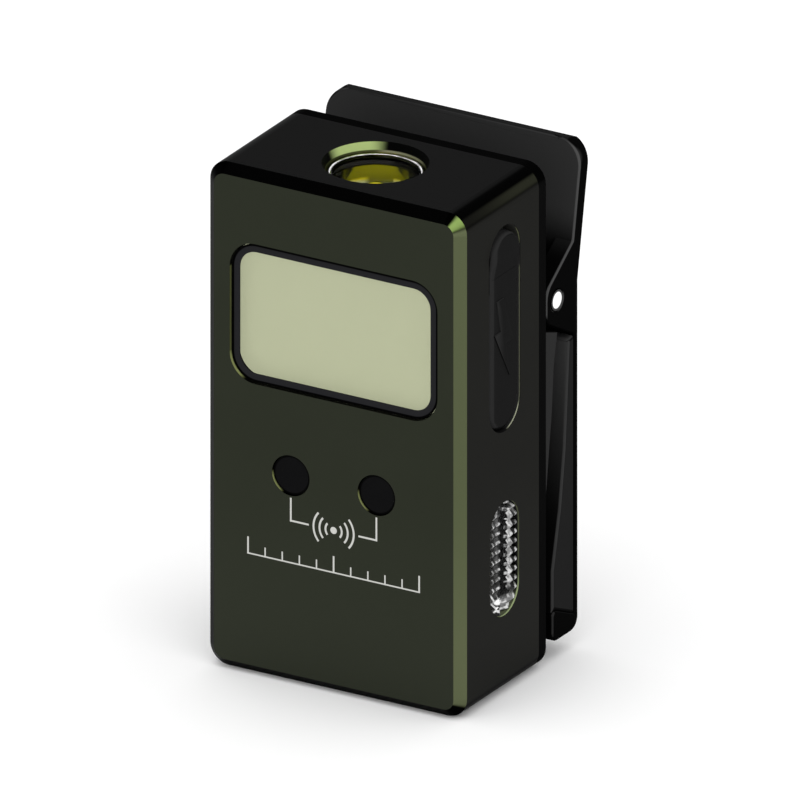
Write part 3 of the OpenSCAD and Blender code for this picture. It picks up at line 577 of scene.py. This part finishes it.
# Painted shade: a dark ring round the pin's bright end.
dress(["clip_pin"], polished.set(Base_Color=from_pivot.step(0.84, 0.9).mix(grey(255), grey(24))))
drawn_steel = bare_metal("port_steel", tone(205, 206, 210), 0.25)
dress(["clip_spring", "usb_receptacle", "battery_tabs"], drawn_steel)
dress(["back_cover_screws", "clip_base_screws", "board_screws"],
      bare_metal("screw_steel", tone(60, 60, 62), 0.35))
dress(["head_lead_pins"], bare_metal("gold", tone(214, 176, 84), 0.25))
dress(["battery_cell"], bare_metal("cell_foil", tone(185, 190, 196), 0.35))

# %% [markdown]
# ## Inner plastics and the circuit board
#
# These show only through the optics, or when the light is taken apart. Each still has its own
# colour and a fine variation.

# %% Inner finishes
dress(["lcd_backlight", "lcd_holder", "side_reflector", "switch_plunger"],
      grained("white_plastic", tone(226, 226, 220), 0.5, 3.0, 0.004, level=0.4))
dress(["main_board", "side_led_board"],
      grained("circuit_board", tone(24, 74, 46), 0.4, 2.0, 0.004, level=0.4))
dress(["head_led_board"], grained("led_board", tone(60, 60, 52), 0.4, 2.0, 0.004, level=0.4))
dress(["lcd_connector"], grained("zebra_pink", tone(196, 112, 124), 0.6, 3.0, 0.004))
dress(["battery_pad"], grained("foam", tone(226, 220, 200), 0.8, 2.0, 0.03))
dress(["ir_emitter"], grained("ir_clear", tone(190, 198, 206), 0.2, 3.0, 0.002, level=0.5))
dress(["ir_receiver"], grained("ir_dark", tone(38, 33, 44), 0.2, 3.0, 0.002, level=0.5))

# %% [markdown]
# ## Display and sensors
#
# The display is a pale grey-green plate that is lit from behind. Much of its light is a painted
# glow of its own, even all over, so the deep pocket doesn't shade it, with a very slight cloud from
# the polariser. The window is coated against glare, which is why its index is set so low. The frame
# before it is printed grey and ends in a black line, a painted shade of the gap round it. The
# sensor windows let only infrared through, so they look black, and a blacker line runs round the
# edge of each.

# %% Display and sensor finishes
WINDOW_CORNER = 2.85
border = Finish("window_border", Specular_IOR_Level=0.01, Roughness=0.4)
border_x, _, border_z = border.place().parts()
border_low, border_high = corners("display_mask")
centre, half = (border_low + border_high) / 2, (border_high - border_low) / 2
past_x = ((border_x - centre.x).absolute() - (half.x - WINDOW_CORNER)).math("MAXIMUM", 0.0)
past_z = ((border_z - centre.z).absolute() - (half.z - WINDOW_CORNER)).math("MAXIMUM", 0.0)
to_edge = WINDOW_CORNER - (past_x ** 2.0 + past_z ** 2.0) ** 0.5
printed = border.noise(4.0).mix(tone(32, 32, 34), tone(35, 35, 37))
# Painted shade: a black line along the printed frame's outer edge.
dress(["display_mask"], border.set(Base_Color=to_edge.step(0.18, 0.25).mix(grey(2), printed)))

# Painted glow: an even emission keeps the display from shading in its pocket.
lcd = Finish("lcd_green", Specular_IOR_Level=0.05, Emission_Strength=1.0)
haze = lcd.noise(0.09)
dress(["lcd_panel"], lcd.set(Base_Color=haze.mix(tone(88, 90, 73), tone(92, 94, 77)),
                             Emission_Color=haze.mix(tone(163, 167, 138), tone(167, 171, 142)),
                             Roughness=0.42 + haze * 0.06))
window = Finish("clear_window", Base_Color=CLEAR, Transmission_Weight=1.0, IOR=1.08)
dress(["display_window"], window.set(Roughness=window.noise(0.4) * 0.02))

infrared = Finish("ir_window", Specular_IOR_Level=0.02)
tint = infrared.noise(0.8)
sensor_x, _, sensor_z = infrared.place().parts()
sensor_low, sensor_high = corners("sensor_window_right")
sensor_radius = (sensor_high.z - sensor_low.z) / 2
from_sensor = ((sensor_x.absolute() - sensor.x) ** 2.0 + (sensor_z - sensor.z) ** 2.0) ** 0.5
# A black line round the edge of each sensor window.
off_edge_line = from_sensor.step(sensor_radius - 0.14, sensor_radius - 0.22)
dress(["sensor_window_left", "sensor_window_right"],
      infrared.set(Base_Color=off_edge_line.mix(grey(0), tint.mix(tone(10, 10, 11), tone(13, 13, 14))),
                   Roughness=0.2 + tint * 0.1))

# %% [markdown]
# ## Clear optics
#
# The head optic is moulded and coated, so its flat shows little glare, while the bead round its
# edge mirrors the studio as a thin bright ring, a painted reflection. A low index makes the flat
# clear, and a mask turns the crest of the bead into a mirror, broken into glints by a noise.

# %% Head optic
optic = Finish("clear_optic", Base_Color=CLEAR, Transmission_Weight=1.0, IOR=1.03)
optic_x, optic_y, optic_z = optic.place().parts()
from_axis = (optic_x ** 2.0 + (optic_y - lamp.y) ** 2.0) ** 0.5
on_bead = (from_axis.within(lamp_high.x - 0.5, lamp_high.x + 0.1)
           * (optic_z - lamp_high.z).step(-0.3, -0.1))
glints = optic.noise(1.1, detail=1.0).step(0.35, 0.6) * 0.5 + 0.5
crest = optic.facing(TO_TOP, 46, 18)
dress(["head_lens"], optic.set(Metallic=on_bead * crest * glints,
                               Roughness=optic.noise(1.5) * 0.02))

# %% [markdown]
# ## The side lamp's window
#
# This window is cut into rows of prisms with one long groove. Its glints are painted: masks across
# and along the window draw a band, dashes, dots, an outline and a bright patch near its lower end
# as painted reflections, mirror-like and pale, and the rest is a smoky clear. A painted glow of
# their own keeps them pale where the studio is dark.

# %% Side lamp's prism window
OVAL_Y, OVAL_HALF_Y, OVAL_HALF_Z = 0.3, 2.4, 6.0
prism = Finish("prism_window", Transmission_Weight=1.0, IOR=1.2, Emission_Strength=1.0)
_, prism_y, prism_z = prism.place().parts()
across, along = prism_y - side_lens.y, prism_z - side_lens.z
past_end = (along.absolute() - (OVAL_HALF_Z - OVAL_HALF_Y)).math("MAXIMUM", 0.0)
inside = OVAL_HALF_Y - ((across - OVAL_Y) ** 2.0 + past_end ** 2.0) ** 0.5
sparkle = prism.noise(2.2, detail=2.0).step(0.38, 0.62)
row = (along - along.math("ROUND")).absolute()
half_row = row.step(0.34, 0.24)
dash = row.step(0.24, 0.12) * across.within(-1.5, -0.64, 0.08) * along.within(-3.4, 4.9)
bits = row.step(0.24, 0.12) * across.within(0.72, 1.0, 0.05) * along.within(-3.0, 4.0)
dots = row.step(0.24, 0.14) * across.within(2.25, 2.62, 0.06) * along.within(-4.6, 4.6)
band = across.within(1.02, 1.85, 0.06) * along.within(-3.6, 5.0, 0.3)
ends = along.step(-3.2, -3.8) + along.step(4.0, 4.6)
outline = inside.within(0.02, 0.3, 0.05) * (half_row + ends).clamped()
inner_arc = inside.within(0.75, 1.1, 0.08) * ends.clamped() * across.step(2.0, 1.2)
# Painted reflection: a bright glint patch near the lower end of the window.
smear = ((across + 0.75) ** 2.0 * 0.6 + (along + 4.5) ** 2.0 * 2.0).step(0.4, 0.12)
drop = ((across + 1.2) ** 2.0 + (along + 5.25) ** 2.0).step(0.2, 0.06)
blob = (smear + drop + outline * along.step(-2.6, -3.4) * across.step(0.2, -0.6) * 0.5).clamped()
end_glow = inside.step(0.0, 0.2) * along.step(-4.2, -4.8) * across.step(-0.6, 0.2)
lit = (dash * (0.4 + 0.6 * sparkle) + bits * (0.3 + 0.6 * sparkle) + dots * (0.4 + 0.5 * sparkle)
       + band * (0.8 + 0.2 * sparkle) + outline * (0.5 + 0.5 * sparkle)
       + inner_arc * (0.3 + 0.6 * sparkle) + end_glow * 0.35 + blob).clamped()
shine = blob.mix(sparkle.mix(grey(130), grey(205)), grey(255))
# Painted glow: an emission keeps the painted flats pale.
glow = (band * 0.6 + dash * 0.35 + dots * 0.3 + outline * 0.3 + end_glow * 0.4).clamped()
dress(["side_lens"], prism.set(Base_Color=lit.mix(grey(92), shine), Metallic=lit,
                               Emission_Color=glow.mix(grey(0), sparkle.mix(grey(104), grey(140))),
                               Roughness=prism.noise(2.0) * 0.04 + lit * 0.55))

# %% [markdown]
# ## Emitters
#
# The emitters are caps of yellow phosphor, matt and finely speckled. The one under the head optic
# has two painted pale glints low at its back, where the cap meets its board.

# %% Emitters
phosphor = Finish("phosphor", Specular_IOR_Level=0.1)
speck = phosphor.noise(6.0)
yellow = speck.mix(tone(246, 228, 12), tone(252, 240, 24))
cap_x, cap_y, cap_z = phosphor.place().parts()
# Painted highlight: two pale glints low on the back of the head emitter's cap.
cap_foot = ((cap_z - corners("head_led")[0].z).step(1.7, 1.35)
            * (cap_y - lamp.y).step(0.0, 0.5))
pale_glints = cap_x.within(-3.3, -1.6, 0.25) + cap_x.within(-1.2, -0.55, 0.1)
dress(["head_led", "side_leds"], phosphor.set(
    Base_Color=(cap_foot * pale_glints).clamped().mix(yellow, tone(238, 238, 214)),
    Roughness=0.6 + speck * 0.1))

# %% [markdown]
# ## Soft edges
#
# No machined or moulded edge is perfectly sharp, and the thin line of light along an edge is what
# makes a black object readable. Modifiers join the triangles of the lever, the jaw and the wedge
# and round their edges by a few tenths of a millimetre, without touching the frame's meshes.

# %% Round the edges
def ease_edges(name, radius, steps=2, join=0.001, sharp=28):
    """Rounds edges that turn more than `sharp` degrees; points closer than `join` become one."""
    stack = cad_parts[name].modifiers
    stack.new("join faces", "WELD").merge_threshold = join * MM
    flats = stack.new("join triangles", "DECIMATE")
    flats.decimate_type = "DISSOLVE"
    flats.angle_limit = math.radians(1)
    bevel = stack.new("eased edges", "BEVEL")
    bevel.use_clamp_overlap = False
    bevel.width = radius * MM
    bevel.segments = steps
    bevel.limit_method = "ANGLE"
    bevel.angle_limit = math.radians(sharp)
    bevel.harden_normals = True
    print(name, "edges eased by", radius, "mm")


ease_edges("clip_lever", 0.28, 4, sharp=50)
ease_edges("clip_jaw_insert", 0.35, 3)
ease_edges("clip_base", 0.1, join=0.05)

# %% [markdown]
# ## Outlines that stand up as plates
#
# A small moulding is easiest to draw as outlines seen from one side. These are seen from the right,
# as (y, z) in millimetres, and each plate stands on its outline towards +x. The rings of points
# step in as the edge rounds over.

# %% Outlines and rounded plates
def arc(centre, radius, start, end, steps=16):
    """Points (y, z) on an arc between two angles in degrees."""
    angles = [math.radians(start + (end - start) * i / steps) for i in range(steps + 1)]
    return [(centre[0] + radius * math.cos(a), centre[1] + radius * math.sin(a)) for a in angles]


def inset(outline, distance):
    """Moves each point of a counter-clockwise outline inwards, along the middle of its corner."""
    moved = []
    for i, (cy, cz) in enumerate(outline):
        before, after = Vector(outline[i - 1]), Vector(outline[(i + 1) % len(outline)])
        here = Vector((cy, cz))
        a, b = (here - before).normalized(), (after - here).normalized()
        inward = Vector((-a.y - b.y, a.x + b.x)).normalized()
        moved.append(here + inward * distance / max(0.5, inward.dot(Vector((-a.y, a.x)))))
    return [(v.x, v.y) for v in moved]


def rounded_plate(form, outline, low_x, high_x, radius, steps=5):
    """A plate between two x values whose outer edge is round."""
    rings = [(0.0, low_x)] + [
        (radius * (1 - math.cos(math.pi / 2 * i / steps)),
         high_x - radius + radius * math.sin(math.pi / 2 * i / steps)) for i in range(steps + 1)]
    loops = []
    for distance, at_x in rings:
        points = inset(outline, distance) if distance > 0 else outline
        loops.append([form.verts.new((at_x * MM, py * MM, pz * MM)) for py, pz in points])
    for lower, upper in zip(loops, loops[1:]):
        for i in range(len(lower)):
            j = (i + 1) % len(lower)
            form.faces.new((lower[i], lower[j], upper[j], upper[i]))
    form.faces.new(loops[-1])
    form.faces.new(list(reversed(loops[0])))


def add_mesh(name, build):
    """Makes an object from a function that fills a bmesh."""
    mesh = bpy.data.meshes.new(name)
    form = bmesh.new()
    build(form)
    bmesh.ops.recalc_face_normals(form, faces=form.faces)
    form.to_mesh(mesh)
    form.free()
    piece = bpy.data.objects.new(name, mesh)
    bpy.context.scene.collection.objects.link(piece)
    return piece


print("outline tools ready")

# %% [markdown]
# ## Rubber port cover
#
# The cover is one moulding on the real object: a plate with round edges, a pull tab, a plug for the
# port and a stem that is pulled through the wall. The frame has it as a fixed end and a swinging
# flap, and this piece takes the place of both. The tab slopes down into the plate at its lower end.
# Level cuts across the slope let the tab bend down into it without a seam, and more level cuts run
# across the fold.

# %% Mould the port cover
EDGE_RADIUS = 0.62
CUT_STEP = 0.2
SLOPE_RISE, SLOPE_LENGTH, SLOPE_CUTS = 0.8, 2.8, 16
FOLD_HALF, FOLD_CUTS = 1.2, 13
hinge_z = (anchor_high.z + flap_low.z) / 2
mid_y = (anchor_low.y + anchor_high.y) / 2
half_width = (anchor_high.y - anchor_low.y) / 2
face_x = anchor_high.x
plate_x = face_x - 1.4
shoulder_z = flap_high.z - 4.4
end_z = anchor_low.z + half_width

plate = (arc((mid_y, end_z), half_width, 180, 360)
         + arc((mid_y + half_width - 0.5, shoulder_z - 0.1), 0.5, 0, 60, 4)
         + arc((mid_y, tab_z), TAB_RADIUS, 0, 180)
         + arc((mid_y - half_width + 0.5, shoulder_z - 0.1), 0.5, 120, 180, 4))
pad_half = TAB_RADIUS - 0.1
pad_low = tab_z - 3.0
pad = arc((mid_y, tab_z), pad_half, 0, 180) + [(mid_y - pad_half, pad_low),
                                               (mid_y + pad_half, pad_low)]
flash = [(0.1, 4.4), (1.5, 4.4), (0.7, 0.9), (2.0, 0.9), (-1.0, -4.4), (-0.3, -0.7), (-1.8, -0.7)]


def cut_level(form, level):
    bmesh.ops.bisect_plane(form, geom=form.verts[:] + form.edges[:] + form.faces[:],
                           plane_co=(0, 0, level * MM), plane_no=(0, 0, 1))


def mould_cover(form):
    rounded_plate(form, plate, plate_x, face_x, EDGE_RADIUS)
    rounded_plate(form, pad, plate_x + 0.6, flap_high.x, 0.4)
    slope_top = tab_z + SLOPE_RISE
    for i in range(SLOPE_CUTS):
        cut_level(form, slope_top - CUT_STEP * i)
    for v in form.verts:
        if v.co.x > (face_x + 0.001) * MM:
            drop = min(1.0, max(0.0, (slope_top - v.co.z / MM) / SLOPE_LENGTH))
            v.co.x -= (v.co.x - (face_x - 0.02) * MM) * drop * drop * (3 - 2 * drop)
    sign = [(mid_y - fy, port.z + 0.4 + fz) for fy, fz in flash]
    rounded_plate(form, sign, plate_x + 0.6, face_x + 0.15, 0.08, 2)
    plug_half, plug_radius = 2.62, 0.95
    plug = (arc((mid_y, port.z + plug_half), plug_radius, 0, 180)
            + arc((mid_y, port.z - plug_half), plug_radius, 180, 360))
    rounded_plate(form, plug, flap_low.x, plate_x + 0.1, 0.02, 1)
    root_half, root_top = half_width - 0.05, hinge_z - 0.3
    root = arc((mid_y, end_z), root_half, 180, 360) + [(mid_y + root_half, root_top),
                                                       (mid_y - root_half, root_top)]
    rounded_plate(form, root, face_x - 1.7, plate_x + 0.1, 0.02, 1)
    stem = (mid_y, hinge_z - 1.9)
    rounded_plate(form, arc(stem, 0.75, 0, 345, 23), anchor_low.x, plate_x + 0.1, 0.02, 1)
    rounded_plate(form, arc(stem, 1.25, 0, 345, 23), anchor_low.x, anchor_low.x + 0.8, 0.1, 2)
    for i in range(FOLD_CUTS):
        cut_level(form, hinge_z - FOLD_HALF + CUT_STEP * i)


port_cover = add_mesh("rubber_port_cover", mould_cover)
port_cover.data.shade_smooth()
port_cover.data.set_sharp_from_angle(angle=math.radians(40))
port_cover.data.materials.append(cover_rubber.material)
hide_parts("usb_cover", "usb_cover_anchor")
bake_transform(port_cover)
print("port cover:", len(port_cover.data.polygons), "faces")

# %% [markdown]
# ## Torsion spring
#
# The spring is one wire wound round the pin: its first leg pushes the thumb plate, the last rests
# on the back cover. When the clip opens, the real coil twists a little in every turn. The wire is
# swept along the same path as the frame's own.

# %% Wind the spring
WIRE_RADIUS, TURNS, SIDES, STEPS_A_TURN = 0.3, 5.5, 14, 28
spring_low, spring_high = corners("clip_spring")
coil_length = TURNS * (2 * WIRE_RADIUS + 0.15)
coil_radius = pin.z - spring_low.z - WIRE_RADIUS
plate_leg = Vector((-coil_length / 2, coil_radius + 1.05, 6.4))
cover_leg = Vector((coil_length / 2, -coil_radius - 0.1, 5.4))
coil = []
for i in range(int(STEPS_A_TURN * TURNS) + 1):
    turn = 2 * math.pi * i / STEPS_A_TURN
    coil.append(Vector((coil_length * (i / (STEPS_A_TURN * TURNS) - 0.5),
                        coil_radius * math.cos(turn), -coil_radius * math.sin(turn))))
path = [plate_leg] + coil + [cover_leg]


def wind_spring(form):
    """Sweeps a round wire along the path, one ring of points for each of its points."""
    angles = [2 * math.pi * k / SIDES for k in range(SIDES)]
    rings = []
    for i, point in enumerate(path):
        ahead = (path[min(i + 1, len(path) - 1)] - path[max(i - 1, 0)]).normalized()
        outward = ahead.cross(Vector((1, 0.01, 0))).normalized()
        beside = ahead.cross(outward)
        rings.append([form.verts.new((pin + point + WIRE_RADIUS * (
            math.cos(a) * outward + math.sin(a) * beside)) * MM) for a in angles])
    for first, second in zip(rings, rings[1:]):
        for k in range(SIDES):
            n = (k + 1) % SIDES
            form.faces.new((first[k], second[k], second[n], first[n]))
    form.faces.new(rings[0])
    form.faces.new(list(reversed(rings[-1])))


spring = add_mesh("torsion_spring", wind_spring)
spring.data.shade_smooth()
spring.data.set_sharp_from_angle(angle=math.radians(50))
spring.data.materials.append(drawn_steel.material)
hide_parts("clip_spring")
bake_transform(spring)
print("spring:", len(path), "rings; box of the frame's own", [round(v, 2) for v in spring_low],
      [round(v, 2) for v in spring_high])

# %% [markdown]
# ## Floor and light
#
# A pale floor carries the object's shadow. The background is white to the camera, to mirrors and
# through glass, while the light that the world throws on surfaces stays soft and even.

# %% World, floor and lamps
world = bpy.data.worlds.new("studio")
world.use_nodes = True
bpy.context.scene.world = world
bpy.context.scene.view_settings.view_transform = "Standard"
sky = Graph(world.node_tree)
WORLD_LIGHT = 0.95
rays = sky.node("ShaderNodeLightPath").socket.node.outputs
seen, mirrored, through = (Wire(sky, rays[name]) for name in
                           ("Is Camera Ray", "Is Glossy Ray", "Is Transmission Ray"))
to_eyes = (seen + mirrored + through).clamped()
backdrop = world.node_tree.nodes["Background"]
backdrop.inputs["Color"].default_value = CLEAR
sky.plug(backdrop.inputs["Strength"], WORLD_LIGHT + to_eyes * (1.0 - WORLD_LIGHT))

FLOOR_HALF, FLOOR_GAP = 1.5, 0.05 * MM
floor = add_mesh("floor", lambda form: bmesh.ops.create_grid(form, x_segments=1, y_segments=1,
                                                             size=FLOOR_HALF))
floor.location.z = -FLOOR_GAP
floor_white = Finish("floor_white", Roughness=0.9, Base_Color=CLEAR)
floor.data.materials.append(floor_white.material)


def add_softbox(name, direction, distance, size, power):
    """A square lamp that looks at the object's middle from a direction."""
    data = bpy.data.lights.new(name, "AREA")
    data.size = size
    data.energy = power
    softbox = bpy.data.objects.new(name, data)
    aim = Vector(direction).normalized()
    softbox.location = VIEW_TARGET + distance * aim
    softbox.rotation_euler = aim.to_track_quat("Z", "Y").to_euler()
    bpy.context.scene.collection.objects.link(softbox)


add_softbox("overhead", (0.1, -0.3, 1.0), 0.5, 0.5, 0.8)
add_softbox("right_low", (0.86, -0.51, 0.08), 0.35, 0.12, 0.12)
print("lamps set, world light", WORLD_LIGHT)

# %% Update the scene and finish
bpy.context.view_layer.update()
